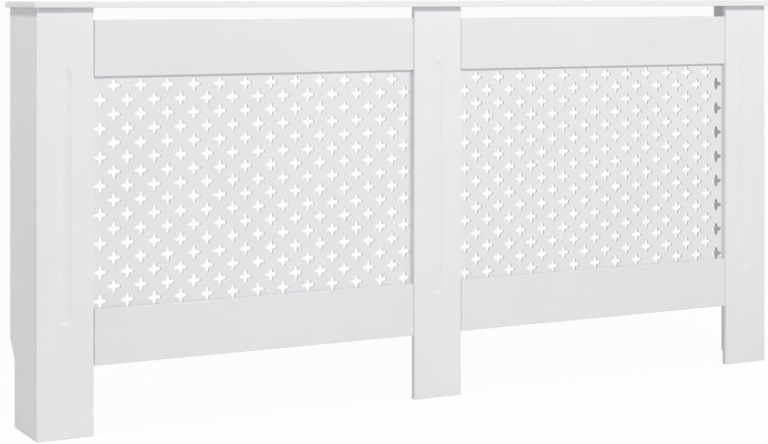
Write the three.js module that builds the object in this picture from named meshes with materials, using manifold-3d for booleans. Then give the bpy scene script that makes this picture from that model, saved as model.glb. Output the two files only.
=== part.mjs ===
// A radiator cover cabinet: three painted posts with a routed flute, two bays with a
// top rail, a bottom rail and a perforated sheet in each, two side panels with a cut-out
// for the skirting board, and a shelf on top. Behind the front are the battens, cleats,
// dowels, screws and wall brackets that hold it together.
//
// Millimetres. X runs along the front, Y into the wall and Z up. The origin is on the
// floor, in the middle of the cabinet's length and depth.

import * as THREE from 'three';
import { mergeVertices } from 'three/addons/utils/BufferGeometryUtils.js';
import Module from 'manifold-3d';

const wasm = await Module();
wasm.setup();

// Overall, and the shelf
const OVERALL_LENGTH = 1720;
const OVERALL_DEPTH = 190;
const OVERALL_HEIGHT = 815;
const SHELF_THICKNESS = 12;
const SHELF_SIDE_OVERHANG = 10;
const SHELF_FRONT_OVERHANG = 20;

// Posts, each with one flute down its middle
const POST_WIDTH = 110;
const POST_THICKNESS = 12;
const FLUTE_WIDTH = 25;
const FLUTE_DEPTH = 3;
const FLUTE_ABOVE_FLOOR = 212;
const FLUTE_BELOW_SHELF = 112;

// Rails, with the slot over them for warm air and the gap under them for cool air
const RAIL_HEIGHT = 106;
const RAIL_THICKNESS = 9;
const RAIL_SETBACK = 3;
const VENT_HEIGHT = 23;
const TOE_HEIGHT = 131;

// Perforated sheets, pinned behind the rails and posts, whose backs are flush
const SHEET_THICKNESS = 3;
const SHEET_RAIL_LAP = 20;
const SHEET_POST_LAP = 10;
const CROSS_STEP = 27.1;
const CROSS_EDGE_MARGIN = 14;
const CROSS_DROP = 3;
const CROSS_SPAN = 28;
const CROSS_WAIST = 13;

// Side panels, cut away at the lower back for the skirting board
const SIDE_THICKNESS = 12;
const NOTCH_DEPTH = 29;
const NOTCH_HEIGHT = 131;
const NOTCH_SLOPE_RISE = 37;

// Battens and cleats behind the front and under the shelf
const BATTEN_SECTION = 18;
const BATTEN_ABOVE_FLOOR = 20;
const SPINE_WIDTH = 60;
const SPINE_THICKNESS = 18;
const CLEAT_SECTION = 18;
const CLEAT_LENGTH = 80;
const BLOCK_WIDTH = 60;
const BLOCK_DEPTH = 40;
const BLOCK_HEIGHT = 18;

// Wall brackets of bent strip
const BRACKET_LEG = 40;
const BRACKET_WIDTH = 20;
const BRACKET_THICKNESS = 2;
const BRACKET_BEND = 4;
const BRACKET_BELOW_SHELF = 120;
const WALL_HOLE_DIAMETER = 6;

// Dowels between the posts and the rails
const DOWEL_DIAMETER = 5;
const DOWEL_LENGTH = 30;
const DOWEL_EDGE_INSET = 25;

// Screws
const SCREW_DIAMETER = 4;
const SCREW_TIP = 4;
const SCREW_BITE = 8;
const COUNTERSUNK_DIAMETER = 8;
const COUNTERSUNK_DEPTH = 2.5;
const PAN_HEAD_DIAMETER = 7.5;
const PAN_HEAD_HEIGHT = 2.4;
const PAN_HEAD_CROWN = 5;
const PAN_HEAD_RIM = 1;
const BATTEN_SCREW_COUNT = 3;
const BATTEN_SCREW_END_INSET = 70;
const CLEAT_SCREW_END_INSET = 22;
const BLOCK_SCREW_EDGE_INSET = 14;
const BRACKET_SCREW_SPACING = 16;

// Fits
const JOINT_GAP = 0.2;
const HOLE_CLEARANCE = 0.3;
const HOLE_END_CLEARANCE = 0.5;
const CUT_THROUGH = 1;

// Facets of round shapes, and how near corners lie before they are one
const ROUND_SIDES = 8;
const FLUTE_STEPS = 3;
const BEND_STEPS = 3;
const WELD = 1e-4;

// Places worked out from the sizes above
const BODY_LENGTH = OVERALL_LENGTH - 2 * SHELF_SIDE_OVERHANG;
const FRONT_Y = SHELF_FRONT_OVERHANG - OVERALL_DEPTH / 2;
const BACK_Y = OVERALL_DEPTH / 2;
const POST_HEIGHT = OVERALL_HEIGHT - SHELF_THICKNESS - JOINT_GAP;
const POST_BACK_Y = FRONT_Y + POST_THICKNESS;
const BAY_WIDTH = (BODY_LENGTH - 3 * POST_WIDTH) / 2;
const BAY_CENTRE_X = (POST_WIDTH + BAY_WIDTH) / 2;
const RAIL_LENGTH = BAY_WIDTH - 2 * JOINT_GAP;
const RAIL_Y = FRONT_Y + RAIL_SETBACK;
const TOP_RAIL_Z = POST_HEIGHT - VENT_HEIGHT - RAIL_HEIGHT;
const OPENING_Z = TOE_HEIGHT + RAIL_HEIGHT;
const OPENING_HEIGHT = TOP_RAIL_Z - OPENING_Z;
const SIDE_OUTER_X = BODY_LENGTH / 2;
const SIDE_FRONT_Y = POST_BACK_Y + JOINT_GAP;

// Finishes
const finish = (color, roughness, metalness = 0) =>
  new THREE.MeshStandardMaterial({ color, roughness, metalness });
const whitePaint = () => finish(0xe7e5e8, 0.45);
const bareTimber = () => finish(0xcfb287, 0.75);
const bareBeech = () => finish(0xd8b98c, 0.7);
const zincSteel = () => finish(0xb4b8bc, 0.35, 0.9);

// Solids: a closed geometry becomes a solid, is cut, and becomes a geometry again
function toSolid(geometry) {
  const bare = geometry.clone();
  bare.deleteAttribute('normal');
  bare.deleteAttribute('uv');
  const merged = mergeVertices(bare, WELD);
  const corners = Array.from(merged.index.array);
  const kept = [];
  for (let i = 0; i < corners.length; i += 3) {
    const [a, b, c] = corners.slice(i, i + 3);
    if (a !== b && b !== c && c !== a) kept.push(a, b, c);
  }
  return new wasm.Manifold(new wasm.Mesh({
    numProp: 3,
    vertProperties: merged.attributes.position.array,
    triVerts: Uint32Array.from(kept),
  }));
}

function toGeometry(solid) {
  const { vertProperties, triVerts } = solid.getMesh();
  const geometry = new THREE.BufferGeometry();
  geometry.setAttribute('position', new THREE.BufferAttribute(vertProperties, 3));
  geometry.setIndex(new THREE.BufferAttribute(triVerts, 1));
  geometry.computeVertexNormals();
  return geometry;
}

// A piece at a place in its parent's frame. Cutters are geometries in that same frame.
function addPiece(parent, name, geometry, material, [x, y, z], cutters = []) {
  let solid = toSolid(geometry);
  for (const cutter of cutters) {
    solid = solid.subtract(toSolid(cutter.clone().translate(-x, -y, -z)));
  }
  const mesh = new THREE.Mesh(toGeometry(solid), material);
  mesh.name = name;
  mesh.position.set(x, y, z);
  parent.add(mesh);
}

// A plain board: its place is the middle of its length, its front and its underside
const board = (length, depth, height) =>
  new THREE.BoxGeometry(length, depth, height).translate(0, depth / 2, height / 2);

// An outline drawn in X and Z, cut from a board of this thickness in Y
function standingBoard(outline, thickness) {
  const geometry = new THREE.ExtrudeGeometry(outline, { depth: thickness, bevelEnabled: false });
  return geometry.rotateX(Math.PI / 2).translate(0, thickness, 0);
}

// An outline drawn in Y and Z, cut from a board of this thickness in X
function sideBoard(outline, thickness) {
  const geometry = new THREE.ExtrudeGeometry(outline, { depth: thickness, bevelEnabled: false });
  const turn = new THREE.Matrix4().set(0, 0, 1, 0, 1, 0, 0, 0, 0, 1, 0, 0, 0, 0, 0, 1);
  return geometry.applyMatrix4(turn).translate(-thickness / 2, 0, 0);
}

// A turned form: a half profile from its lowest to its highest point on its own Y axis
const turned = (profile, sides = ROUND_SIDES) =>
  new THREE.LatheGeometry(profile.map(([r, y]) => new THREE.Vector2(r, y)), sides);

// Rotations that lay a turned form's +Y along a direction
const ALONG = {
  minusX: new THREE.Euler(0, 0, Math.PI / 2),
  plusX: new THREE.Euler(0, 0, -Math.PI / 2),
  plusZ: new THREE.Euler(Math.PI / 2, 0, 0),
};

function laid(geometry, direction, [x, y, z]) {
  const turn = new THREE.Matrix4().makeRotationFromEuler(ALONG[direction]);
  return geometry.applyMatrix4(turn).translate(x, y, z);
}

// Fasteners. Each is a turned form, with a looser one that cuts its hole.
const rod = (radius, length) => turned([[0, 0], [radius, 0], [radius, length], [0, length]]);

function countersunkScrew(length, clearance = 0) {
  const head = COUNTERSUNK_DIAMETER / 2 + clearance;
  const shank = SCREW_DIAMETER / 2 + clearance;
  const top = clearance ? -CUT_THROUGH : 0;
  const profile = [[0, top], [head, top]];
  if (clearance) profile.push([head, clearance]);
  profile.push([shank, COUNTERSUNK_DEPTH + clearance], [shank, length - SCREW_TIP + clearance]);
  profile.push([0, length + clearance]);
  return turned(profile);
}

function panHeadScrew(length, clearance = 0) {
  const shank = SCREW_DIAMETER / 2 + clearance;
  const rim = PAN_HEAD_DIAMETER / 2;
  const crown = PAN_HEAD_CROWN / 2;
  const head = [[0, -PAN_HEAD_HEIGHT], [crown, -PAN_HEAD_HEIGHT], [rim, -PAN_HEAD_RIM], [rim, 0], [shank, 0]];
  const open = [[0, -CUT_THROUGH], [shank, -CUT_THROUGH]];
  const start = clearance ? open : head;
  return turned([...start, [shank, length - SCREW_TIP + clearance], [0, length + clearance]]);
}

function addScrews(parent, name, makeScrew, length, direction, places) {
  places.forEach(([x, y, z], index) => {
    const mesh = new THREE.Mesh(toGeometry(toSolid(makeScrew(length))), zincSteel());
    mesh.name = `${name}_${index + 1}`;
    mesh.rotation.copy(ALONG[direction]);
    mesh.position.set(x, y, z);
    parent.add(mesh);
  });
}

const screwHoles = (makeScrew, length, direction, places) =>
  places.map((place) => laid(makeScrew(length, HOLE_CLEARANCE), direction, place));

// The flute's cutter: a shallow round trough along Z, with a dished end at each end
function fluteCutter(x, y, bottom, top) {
  const half = FLUTE_WIDTH / 2;
  const radius = (half * half + FLUTE_DEPTH * FLUTE_DEPTH) / (2 * FLUTE_DEPTH);
  const depthAt = (across) => Math.sqrt(radius * radius - across * across) - (radius - FLUTE_DEPTH);
  const section = new THREE.Shape();
  section.moveTo(-half, -CUT_THROUGH);
  section.lineTo(half, -CUT_THROUGH);
  for (let step = FLUTE_STEPS; step >= -FLUTE_STEPS; step -= 1) {
    const across = (half * step) / FLUTE_STEPS;
    section.lineTo(across, depthAt(across));
  }
  const length = top - bottom - FLUTE_WIDTH;
  const trough = new THREE.ExtrudeGeometry(section, { depth: length, bevelEnabled: false });
  const profile = [[0, -CUT_THROUGH], [half, -CUT_THROUGH]];
  for (let step = FLUTE_STEPS; step >= 0; step -= 1) {
    const across = (half * step) / FLUTE_STEPS;
    profile.push([across, depthAt(across)]);
  }
  const dish = turned(profile, 4 * FLUTE_STEPS);
  let cutter = toSolid(trough.translate(x, y, bottom + half));
  for (const z of [bottom + half, top - half]) {
    cutter = cutter.add(toSolid(dish.clone().translate(x, y, z)));
  }
  return toGeometry(cutter);
}

const cabinet = new THREE.Group();

// Dowels: two at each end of each rail, half in the rail and half in the post
const DOWEL_Y = (RAIL_Y + POST_BACK_Y) / 2;
const DOWEL_RADIUS = DOWEL_DIAMETER / 2;
const railHeights = { top: TOP_RAIL_Z, bottom: TOE_HEIGHT };
const dowels = [];
for (const [bayName, bay] of [['left', -1], ['right', 1]]) {
  for (const [railName, railZ] of Object.entries(railHeights)) {
    for (const [endName, end] of [['left', -1], ['right', 1]]) {
      for (const [levelName, level] of [['lower', -1], ['upper', 1]]) {
        dowels.push({
          name: `dowel_${railName}_rail_${bayName}_${endName}_end_${levelName}`,
          x: bay * BAY_CENTRE_X + end * (BAY_WIDTH / 2),
          z: railZ + RAIL_HEIGHT / 2 + level * (RAIL_HEIGHT / 2 - DOWEL_EDGE_INSET),
        });
      }
    }
  }
}
function dowelHoles(middleX, width, lowZ, height) {
  const length = DOWEL_LENGTH + 2 * HOLE_END_CLEARANCE;
  return dowels
    .filter(({ x }) => Math.abs(x - middleX) < (width + length) / 2)
    .filter(({ z }) => z > lowZ && z < lowZ + height)
    .map(({ x, z }) => {
      const hole = rod(DOWEL_RADIUS + HOLE_CLEARANCE, length);
      return laid(hole, 'plusX', [x - length / 2, DOWEL_Y, z]);
    });
}
for (const { name, x, z } of dowels) {
  const peg = rod(DOWEL_RADIUS, DOWEL_LENGTH).rotateZ(-Math.PI / 2);
  addPiece(cabinet, name, peg, bareBeech(), [x - DOWEL_LENGTH / 2, DOWEL_Y, z]);
}

// Posts
for (const [name, place] of [['left', -1], ['centre', 0], ['right', 1]]) {
  const x = place * (POST_WIDTH + BAY_WIDTH);
  const fluteTop = POST_HEIGHT - FLUTE_BELOW_SHELF;
  const cutters = [
    fluteCutter(x, FRONT_Y, FLUTE_ABOVE_FLOOR, fluteTop),
    ...dowelHoles(x, POST_WIDTH, 0, POST_HEIGHT),
  ];
  const post = board(POST_WIDTH, POST_THICKNESS, POST_HEIGHT);
  addPiece(cabinet, `post_${name}`, post, whitePaint(), [x, FRONT_Y, 0], cutters);
}

// Rails
for (const [bayName, bay] of [['left', -1], ['right', 1]]) {
  const x = bay * BAY_CENTRE_X;
  for (const [railName, railZ] of Object.entries(railHeights)) {
    const holes = dowelHoles(x, RAIL_LENGTH, railZ, RAIL_HEIGHT);
    const rail = board(RAIL_LENGTH, RAIL_THICKNESS, RAIL_HEIGHT);
    addPiece(cabinet, `${railName}_rail_${bayName}`, rail, whitePaint(), [x, RAIL_Y, railZ], holes);
  }
}

// Perforated sheets: staggered rows of four-pointed crosses, centred along the bay and a
// little low in its height
function crossHole(x, z) {
  const tip = CROSS_SPAN / 2;
  const waist = CROSS_WAIST / 2;
  const corners = [[tip, 0], [waist, waist], [0, tip], [-waist, waist]];
  corners.push(...corners.map(([a, b]) => [-a, -b]));
  return new THREE.Path(corners.map(([a, b]) => new THREE.Vector2(x + a, z + b)));
}
function perforatedSheet(width, height) {
  const columns = 2 * Math.floor((BAY_WIDTH / 2 - CROSS_EDGE_MARGIN) / CROSS_STEP) + 1;
  const rows = Math.floor((OPENING_HEIGHT - 2 * CROSS_EDGE_MARGIN) / CROSS_STEP) + 1;
  const outline = new THREE.Shape();
  outline.moveTo(-width / 2, 0);
  outline.lineTo(width / 2, 0);
  outline.lineTo(width / 2, height);
  outline.lineTo(-width / 2, height);
  outline.closePath();
  for (let row = 0; row < rows; row += 1) {
    const z = height / 2 - CROSS_DROP + (row - (rows - 1) / 2) * CROSS_STEP;
    for (let column = row % 2; column < columns; column += 2) {
      outline.holes.push(crossHole((column - (columns - 1) / 2) * CROSS_STEP, z));
    }
  }
  return standingBoard(outline, SHEET_THICKNESS);
}
for (const [bayName, bay] of [['left', -1], ['right', 1]]) {
  const sheet = perforatedSheet(BAY_WIDTH + 2 * SHEET_POST_LAP, OPENING_HEIGHT + 2 * SHEET_RAIL_LAP);
  const y = RAIL_Y + RAIL_THICKNESS + JOINT_GAP;
  const z = OPENING_Z - SHEET_RAIL_LAP;
  addPiece(cabinet, `grille_${bayName}`, sheet, whitePaint(), [bay * BAY_CENTRE_X, y, z]);
}

// The spine: a flat batten down the back of the centre post, and a block over it that
// takes the shelf's middle screws
const BLOCK_Y = POST_BACK_Y + JOINT_GAP;
const BLOCK_Z = POST_HEIGHT - BLOCK_HEIGHT;
const spine = board(SPINE_WIDTH, SPINE_THICKNESS, BLOCK_Z - JOINT_GAP - TOE_HEIGHT);
addPiece(cabinet, 'centre_batten', spine, bareTimber(), [0, BLOCK_Y, TOE_HEIGHT]);

const shelfScrewLength = (through) => through + JOINT_GAP + SCREW_BITE;
const blockScrewX = BLOCK_WIDTH / 2 - BLOCK_SCREW_EDGE_INSET;
const blockScrews = [-1, 1].map((side) => [side * blockScrewX, BLOCK_Y + BLOCK_DEPTH / 2, BLOCK_Z]);
const blockScrewLength = shelfScrewLength(BLOCK_HEIGHT);
const blockHoles = screwHoles(countersunkScrew, blockScrewLength, 'plusZ', blockScrews);
const block = board(BLOCK_WIDTH, BLOCK_DEPTH, BLOCK_HEIGHT);
addPiece(cabinet, 'shelf_block_centre', block, bareTimber(), [0, BLOCK_Y, BLOCK_Z], blockHoles);
addScrews(cabinet, 'block_screw', countersunkScrew, blockScrewLength, 'plusZ', blockScrews);

// The two ends: side panel, corner batten, shelf cleat and wall bracket, with their screws
function sidePanelOutline() {
  const outline = new THREE.Shape();
  outline.moveTo(SIDE_FRONT_Y, 0);
  outline.lineTo(BACK_Y - NOTCH_DEPTH, 0);
  outline.lineTo(BACK_Y - NOTCH_DEPTH, NOTCH_HEIGHT);
  outline.lineTo(BACK_Y, NOTCH_HEIGHT + NOTCH_SLOPE_RISE);
  outline.lineTo(BACK_Y, POST_HEIGHT);
  outline.lineTo(SIDE_FRONT_Y, POST_HEIGHT);
  outline.closePath();
  return outline;
}

// Bent strip: one leg lies along the side panel and the other along the wall
function bracketOutline(side) {
  const outline = new THREE.Shape();
  const at = (x, y) => [-side * x, -y];
  outline.moveTo(...at(0, BRACKET_LEG));
  outline.lineTo(...at(0, BRACKET_BEND));
  for (let step = 1; step <= BEND_STEPS; step += 1) {
    const angle = (step / BEND_STEPS) * (Math.PI / 2);
    outline.lineTo(...at(BRACKET_BEND * (1 - Math.cos(angle)), BRACKET_BEND * (1 - Math.sin(angle))));
  }
  outline.lineTo(...at(BRACKET_LEG, 0));
  outline.lineTo(...at(BRACKET_LEG, BRACKET_THICKNESS));
  const inner = BRACKET_BEND - BRACKET_THICKNESS;
  for (let step = 0; step <= BEND_STEPS; step += 1) {
    const angle = (1 - step / BEND_STEPS) * (Math.PI / 2);
    outline.lineTo(...at(BRACKET_BEND - inner * Math.cos(angle), BRACKET_BEND - inner * Math.sin(angle)));
  }
  outline.lineTo(...at(BRACKET_THICKNESS, BRACKET_LEG));
  outline.closePath();
  return outline;
}

const cleatScrewHoles = [];
for (const [endName, side, outward] of [['left', -1, 'minusX'], ['right', 1, 'plusX']]) {
  const innerX = side * (SIDE_OUTER_X - SIDE_THICKNESS - JOINT_GAP);

  // Corner batten, screwed to the side panel from inside
  const battenX = innerX - (side * BATTEN_SECTION) / 2;
  const battenY = POST_BACK_Y + JOINT_GAP;
  const battenHeight = POST_HEIGHT - BATTEN_ABOVE_FLOOR;
  const screwSpan = battenHeight - 2 * BATTEN_SCREW_END_INSET;
  const battenScrews = Array.from({ length: BATTEN_SCREW_COUNT }, (_, index) => [
    innerX - side * BATTEN_SECTION,
    battenY + BATTEN_SECTION / 2,
    BATTEN_ABOVE_FLOOR + BATTEN_SCREW_END_INSET + (screwSpan * index) / (BATTEN_SCREW_COUNT - 1),
  ]);
  const battenScrewLength = BATTEN_SECTION + JOINT_GAP + SCREW_BITE;
  const battenHoles = screwHoles(countersunkScrew, battenScrewLength, outward, battenScrews);
  const batten = board(BATTEN_SECTION, BATTEN_SECTION, battenHeight);
  const battenPlace = [battenX, battenY, BATTEN_ABOVE_FLOOR];
  addPiece(cabinet, `corner_batten_${endName}`, batten, bareTimber(), battenPlace, battenHoles);
  addScrews(cabinet, `batten_screw_${endName}`, countersunkScrew, battenScrewLength, outward, battenScrews);

  // Shelf cleat, glued to the side panel, with screws up into the shelf
  const cleatX = innerX - (side * CLEAT_SECTION) / 2;
  const cleatY = battenY + BATTEN_SECTION + JOINT_GAP;
  const cleatZ = POST_HEIGHT - CLEAT_SECTION;
  const cleatScrews = [CLEAT_SCREW_END_INSET, CLEAT_LENGTH - CLEAT_SCREW_END_INSET]
    .map((inset) => [cleatX, cleatY + inset, cleatZ]);
  const cleatScrewLength = shelfScrewLength(CLEAT_SECTION);
  const cleatHoles = screwHoles(countersunkScrew, cleatScrewLength, 'plusZ', cleatScrews);
  cleatScrewHoles.push(...cleatHoles);
  const cleat = board(CLEAT_SECTION, CLEAT_LENGTH, CLEAT_SECTION);
  addPiece(cabinet, `shelf_cleat_${endName}`, cleat, bareTimber(), [cleatX, cleatY, cleatZ], cleatHoles);
  addScrews(cabinet, `cleat_screw_${endName}`, countersunkScrew, cleatScrewLength, 'plusZ', cleatScrews);

  // Wall bracket, screwed to the side panel, with a hole for the wall's own screw
  const bracketZ = POST_HEIGHT - BRACKET_BELOW_SHELF;
  const legMiddleY = BACK_Y - (BRACKET_LEG + BRACKET_BEND) / 2;
  const bracketScrews = [-1, 1].map((step) => [
    innerX - side * BRACKET_THICKNESS,
    legMiddleY + (step * BRACKET_SCREW_SPACING) / 2,
    bracketZ,
  ]);
  const bracketScrewLength = BRACKET_THICKNESS + JOINT_GAP + SCREW_BITE;
  const bracketHoles = screwHoles(panHeadScrew, bracketScrewLength, outward, bracketScrews);
  const stripForm = { depth: BRACKET_WIDTH, bevelEnabled: false };
  const strip = new THREE.ExtrudeGeometry(bracketOutline(side), stripForm);
  const wallHoleX = innerX - (side * (BRACKET_LEG + BRACKET_BEND)) / 2;
  const wallHole = rod(WALL_HOLE_DIAMETER / 2, BRACKET_THICKNESS + 2 * CUT_THROUGH)
    .translate(wallHoleX, BACK_Y - BRACKET_THICKNESS - CUT_THROUGH, bracketZ);
  const bracketPlace = [innerX, BACK_Y, bracketZ - BRACKET_WIDTH / 2];
  addPiece(cabinet, `wall_bracket_${endName}`, strip, zincSteel(), bracketPlace, [...bracketHoles, wallHole]);
  addScrews(cabinet, `bracket_screw_${endName}`, panHeadScrew, bracketScrewLength, outward, bracketScrews);

  const panel = sideBoard(sidePanelOutline(), SIDE_THICKNESS);
  const panelPlace = [side * (SIDE_OUTER_X - SIDE_THICKNESS / 2), 0, 0];
  const panelHoles = [...battenHoles, ...bracketHoles];
  addPiece(cabinet, `side_panel_${endName}`, panel, whitePaint(), panelPlace, panelHoles);
}

// Top shelf, with blind holes for the screws that come up from the cleats and the block
const shelf = board(OVERALL_LENGTH, OVERALL_DEPTH, SHELF_THICKNESS);
const shelfPlace = [0, -OVERALL_DEPTH / 2, OVERALL_HEIGHT - SHELF_THICKNESS];
addPiece(cabinet, 'top_shelf', shelf, whitePaint(), shelfPlace, [...cleatScrewHoles, ...blockHoles]);

export default cabinet;
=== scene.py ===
import math

import bmesh
import bpy
from mathutils import Matrix, Vector, geometry


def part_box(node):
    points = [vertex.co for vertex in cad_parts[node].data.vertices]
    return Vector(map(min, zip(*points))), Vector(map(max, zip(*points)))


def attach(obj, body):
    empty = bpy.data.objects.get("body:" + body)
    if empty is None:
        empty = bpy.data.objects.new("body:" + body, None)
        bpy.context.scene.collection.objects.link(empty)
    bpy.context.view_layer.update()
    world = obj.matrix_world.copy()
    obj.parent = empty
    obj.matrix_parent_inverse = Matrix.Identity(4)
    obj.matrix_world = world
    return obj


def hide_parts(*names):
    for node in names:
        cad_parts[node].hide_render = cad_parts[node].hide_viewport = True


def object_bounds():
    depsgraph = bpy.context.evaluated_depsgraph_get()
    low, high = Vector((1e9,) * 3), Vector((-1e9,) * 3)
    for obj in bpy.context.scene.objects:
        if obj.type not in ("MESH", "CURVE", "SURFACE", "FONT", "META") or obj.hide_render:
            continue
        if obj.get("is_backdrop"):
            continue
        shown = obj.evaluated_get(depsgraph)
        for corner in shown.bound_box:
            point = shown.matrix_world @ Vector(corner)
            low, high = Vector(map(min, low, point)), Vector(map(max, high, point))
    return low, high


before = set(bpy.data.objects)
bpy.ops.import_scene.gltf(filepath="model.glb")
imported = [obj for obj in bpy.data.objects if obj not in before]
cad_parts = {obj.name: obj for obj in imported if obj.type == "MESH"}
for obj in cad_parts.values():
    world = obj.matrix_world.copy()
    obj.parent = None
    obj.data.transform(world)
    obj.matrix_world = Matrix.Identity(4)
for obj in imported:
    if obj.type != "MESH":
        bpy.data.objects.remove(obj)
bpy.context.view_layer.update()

# ---- Camera ----
# It stands off the cabinet's left end, level, as high as the shelf, and looks to the right
# along the front. The horizon lies just over the picture, so the frame is shifted down.
MM = 0.001
PICTURE_WIDTH = 768
PICTURE_HEIGHT = 444
SENSOR_WIDTH = 36.0
FOCAL_LENGTH_IN_PIXELS = 1887.7
HORIZON_ROW = -2.7
LOOKS_TO_THE_RIGHT = math.radians(27.85)
CAMERA_PLACE = Vector((-1911.2, -3455.0, 822.4)) * MM

camera_data = bpy.data.cameras.new("camera")
camera_data.sensor_width = SENSOR_WIDTH
camera_data.lens = camera_data.sensor_width * FOCAL_LENGTH_IN_PIXELS / PICTURE_WIDTH
camera_data.shift_y = (HORIZON_ROW - PICTURE_HEIGHT / 2) / PICTURE_WIDTH
camera = bpy.data.objects.new("camera", camera_data)
camera.location = CAMERA_PLACE
camera.rotation_euler = (math.pi / 2, 0, -LOOKS_TO_THE_RIGHT)
bpy.context.scene.collection.objects.link(camera)
bpy.context.scene.camera = camera

# ---- Posts ----
# Three boards of 12 mm fibreboard stand from the floor to the shelf. A round-nosed cutter
# runs one shallow flute down each, the arrises are sanded, and white lacquer is sprayed on.
ARRIS = 1.2 * MM
FLUTE_WIDTH = 25 * MM
FLUTE_DEPTH = 3 * MM
FLUTE_ABOVE_FLOOR = 212 * MM
FLUTE_BELOW_SHELF = 112 * MM
FLUTE_LIP = 0.5 * MM
FLUTE_GRID = 0.65 * MM
FLUTE_REACH = 1.3
FLUTE_FADE = 0.2
FLUTE_END_OVERRUN = 0.2
FLUTE_END_ROWS = 0.8
SHARP_ANGLE = 35
BROAD = 0.9
CLOUD_DARK, CLOUD_LIGHT = 0.985, 1.01
DRILL_SIDES = 24
DOWEL_HOLE_ROOM = 0.3 * MM
DOWEL_HOLE_DEEPER = 0.5 * MM
ARRIS_STEPS = (45, 30, 15, 0)
PAINTED_FACE, EDGE_WITH_PAINTED_LIGHT = 0, 1


def shader_of(name):
    """A new material with its nodes, and a maker for more of them."""
    material = bpy.data.materials.new(name)
    material.use_nodes = True
    tree = material.node_tree

    def add(kind, **settings):
        node = tree.nodes.new(kind)
        for key, value in settings.items():
            if key in node.inputs:
                node.inputs[key].default_value = value
            else:
                setattr(node, key, value)
        return node

    return material, tree.nodes["Principled BSDF"], add, tree.links.new


def lacquer(name, tone, gloss, peel, nap):
    """Sprayed white lacquer: faint clouds of tone, orange peel, and the board's nap under it."""
    material, shader, add, join = shader_of(name)
    place = add("ShaderNodeTexCoord")
    clouds = add("ShaderNodeTexNoise", Scale=6.0, Detail=2.0)
    tones = add("ShaderNodeValToRGB")
    tones.color_ramp.elements[0].position = 0.3
    tones.color_ramp.elements[0].color = [t * CLOUD_DARK for t in tone] + [1]
    tones.color_ramp.elements[1].position = 0.7
    tones.color_ramp.elements[1].color = [t * CLOUD_LIGHT for t in tone] + [1]
    join(place.outputs["Object"], clouds.inputs["Vector"])
    join(clouds.outputs["Fac"], tones.inputs["Fac"])
    join(tones.outputs["Color"], shader.inputs["Base Color"])
    sheen = add("ShaderNodeTexNoise", Scale=38.0, Detail=3.0)
    gloss_range = add("ShaderNodeMapRange")
    gloss_range.inputs["To Min"].default_value = gloss - 0.05
    gloss_range.inputs["To Max"].default_value = gloss + 0.05
    join(place.outputs["Object"], sheen.inputs["Vector"])
    join(sheen.outputs["Fac"], gloss_range.inputs["Value"])
    join(gloss_range.outputs["Result"], shader.inputs["Roughness"])
    orange_peel = add("ShaderNodeTexNoise", Scale=520.0, Detail=1.5, Roughness=0.45)
    peel_bump = add("ShaderNodeBump", Strength=peel, Distance=0.05 * MM)
    board_nap = add("ShaderNodeTexNoise", Scale=2400.0, Detail=2.0)
    nap_bump = add("ShaderNodeBump", Strength=nap, Distance=0.04 * MM)
    join(place.outputs["Object"], orange_peel.inputs["Vector"])
    join(place.outputs["Object"], board_nap.inputs["Vector"])
    join(orange_peel.outputs["Fac"], peel_bump.inputs["Height"])
    join(board_nap.outputs["Fac"], nap_bump.inputs["Height"])
    join(peel_bump.outputs["Normal"], nap_bump.inputs["Normal"])
    join(nap_bump.outputs["Normal"], shader.inputs["Normal"])
    shader.inputs["Specular IOR Level"].default_value = 0.45
    return material


def drilled_board(name):
    """The brown fibreboard that a drill lays bare."""
    material, shader, add, join = shader_of(name)
    place = add("ShaderNodeTexCoord")
    fibres = add("ShaderNodeTexNoise", Scale=1500.0, Detail=4.0)
    browns = add("ShaderNodeValToRGB")
    browns.color_ramp.elements[0].color = (0.30, 0.19, 0.10, 1)
    browns.color_ramp.elements[1].color = (0.50, 0.35, 0.21, 1)
    rough = add("ShaderNodeBump", Strength=0.6, Distance=0.08 * MM)
    join(place.outputs["Object"], fibres.inputs["Vector"])
    join(fibres.outputs["Fac"], browns.inputs["Fac"])
    join(browns.outputs["Color"], shader.inputs["Base Color"])
    join(fibres.outputs["Fac"], rough.inputs["Height"])
    join(rough.outputs["Normal"], shader.inputs["Normal"])
    shader.inputs["Roughness"].default_value = 0.9
    return material


def cuts_between(low, high, arris, between=()):
    """Where a board's skin is cut along one axis: close together over each rounded arris."""
    zone = [arris * (1 - math.tan(math.radians(a))) for a in ARRIS_STEPS]
    return [low + z for z in zone] + sorted(between) + [high - z for z in reversed(zone)]


def board_skin(low, high, arris, between_x=(), between_z=()):
    """A board's closed skin of quads, its arrises and corners rounded."""
    cuts = [
        cuts_between(low.x, high.x, arris, between_x),
        cuts_between(low.y, high.y, arris),
        cuts_between(low.z, high.z, arris, between_z),
    ]
    skin = bmesh.new()
    corners = {}

    def corner(place):
        if place not in corners:
            corners[place] = skin.verts.new([cuts[axis][n] for axis, n in enumerate(place)])
        return corners[place]

    for axis in range(3):
        u, v = (axis + 1) % 3, (axis + 2) % 3
        for layer in (0, len(cuts[axis]) - 1):
            for i in range(len(cuts[u]) - 1):
                for j in range(len(cuts[v]) - 1):
                    ring = [(i, j), (i + 1, j), (i + 1, j + 1), (i, j + 1)]
                    if layer == 0:
                        ring.reverse()
                    places = [{axis: layer, u: a, v: b} for a, b in ring]
                    skin.faces.new([corner((p[0], p[1], p[2])) for p in places])
    for vertex in skin.verts:
        core = Vector([
            min(max(c, near + arris), far - arris)
            for c, near, far in zip(vertex.co, low, high)
        ])
        vertex.co = core + (vertex.co - core).normalized() * arris
    return skin


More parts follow.
